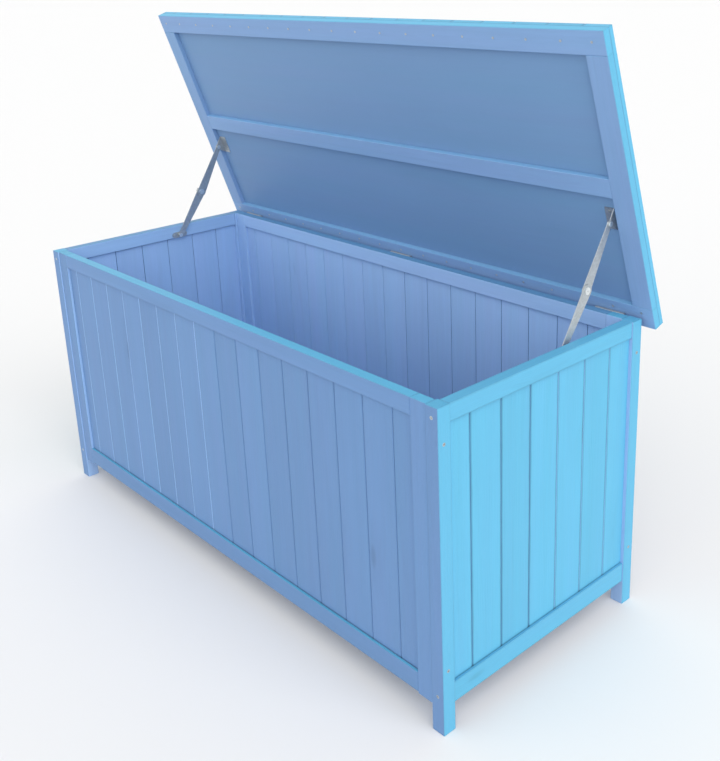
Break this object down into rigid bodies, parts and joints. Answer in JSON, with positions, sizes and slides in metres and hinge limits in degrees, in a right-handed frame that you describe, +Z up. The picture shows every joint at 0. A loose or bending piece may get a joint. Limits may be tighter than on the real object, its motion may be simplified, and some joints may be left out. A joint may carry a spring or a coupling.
{
  "type": "deck storage box",
  "caption": "Long wooden deck storage box of framed vertical boards on corner posts, with a hinged boarded lid held open by folding steel stays.",
  "frame": {"origin": "on the ground under the middle of the four posts", "axes": "+X to the right along the length, -Y towards the front where the lid opens, +Z up"},
  "size_m": [1.28, 0.5401, 1.0755],
  "materials": {
    "post_wood": "blue stain, satin",
    "frame_wood": "blue stain, satin",
    "board_wood": "blue stain, satin",
    "lid_wood": "blue stain, matt",
    "steel": "zinc plated"
  },
  "bodies": {
    "box": {"post_front_left": "post_wood", "post_front_right": "post_wood", "post_back_left": "post_wood", "post_back_right": "post_wood", "front_top_rail": "frame_wood", "front_bottom_rail": "frame_wood", "front_stile_left": "frame_wood", "front_stile_right": "frame_wood", "back_top_rail": "frame_wood", "back_bottom_rail": "frame_wood", "back_stile_left": "frame_wood", "back_stile_right": "frame_wood", "left_top_rail": "frame_wood", "left_bottom_rail": "frame_wood", "right_top_rail": "frame_wood", "right_bottom_rail": "frame_wood", "front_boards": "board_wood", "back_boards": "board_wood", "left_boards": "board_wood", "right_boards": "board_wood", "floor_boards": "board_wood", "floor_cleat_front": "board_wood", "floor_cleat_back": "board_wood", "floor_bearer": "board_wood", "post_screws": "steel", "hinge_leaf_box_left": "steel", "hinge_leaf_box_middle": "steel", "hinge_leaf_box_right": "steel", "hinge_pins": "steel", "hinge_screws_box": "steel", "stay_lower_bracket_left": "steel", "stay_lower_bracket_right": "steel", "stay_lower_rivets": "steel", "stay_screws_box": "steel"},
    "lid": {"hinge_leaf_lid_left": "steel", "hinge_leaf_lid_middle": "steel", "hinge_leaf_lid_right": "steel", "hinge_screws_lid": "steel", "lid_front_rail": "lid_wood", "lid_back_rail": "lid_wood", "lid_stile_left": "lid_wood", "lid_stile_right": "lid_wood", "lid_batten": "lid_wood", "lid_liner": "lid_wood", "lid_boards": "lid_wood", "lid_nails": "steel", "stay_upper_bracket_left": "steel", "stay_upper_bracket_right": "steel", "stay_upper_rivets": "steel", "stay_screws_lid": "steel"},
    "left_lower_arm": {"stay_lower_arm_left": "steel", "stay_elbow_head_left": "steel"},
    "left_upper_arm": {"stay_upper_arm_left": "steel", "stay_elbow_tail_left": "steel"},
    "right_lower_arm": {"stay_lower_arm_right": "steel", "stay_elbow_head_right": "steel"},
    "right_upper_arm": {"stay_upper_arm_right": "steel", "stay_elbow_tail_right": "steel"}
  },
  "joints": [
    {"name": "lid_hinge", "type": "hinge", "parent": "box", "child": "lid", "pos_m": [0, 0.2549, 0.5641], "axis": [1, 0, 0], "range_deg": [0, 71]},
    {"name": "left_lower_arm_pivot", "type": "hinge", "parent": "box", "child": "left_lower_arm", "pos_m": [-0.59125, 0.062, 0.545], "axis": [1, 0, 0], "range_deg": [0, 121.4]},
    {"name": "left_upper_arm_pivot", "type": "hinge", "parent": "lid", "child": "left_upper_arm", "pos_m": [-0.58945, 0.19011, 0.74581], "axis": [1, 0, 0], "range_deg": [-127.3, 0]},
    {"name": "right_lower_arm_pivot", "type": "hinge", "parent": "box", "child": "right_lower_arm", "pos_m": [0.59125, 0.062, 0.545], "axis": [1, 0, 0], "range_deg": [0, 121.4]},
    {"name": "right_upper_arm_pivot", "type": "hinge", "parent": "lid", "child": "right_upper_arm", "pos_m": [0.58945, 0.19011, 0.74581], "axis": [1, 0, 0], "range_deg": [-127.3, 0]}
  ],
  "couplings": [
    {"joint": "left_lower_arm_pivot", "follows": "lid_hinge", "ratio": 1.7021},
    {"joint": "left_upper_arm_pivot", "follows": "lid_hinge", "ratio": -1.7856},
    {"joint": "right_lower_arm_pivot", "follows": "lid_hinge", "ratio": 1.7021},
    {"joint": "right_upper_arm_pivot", "follows": "lid_hinge", "ratio": -1.7856}
  ]
}
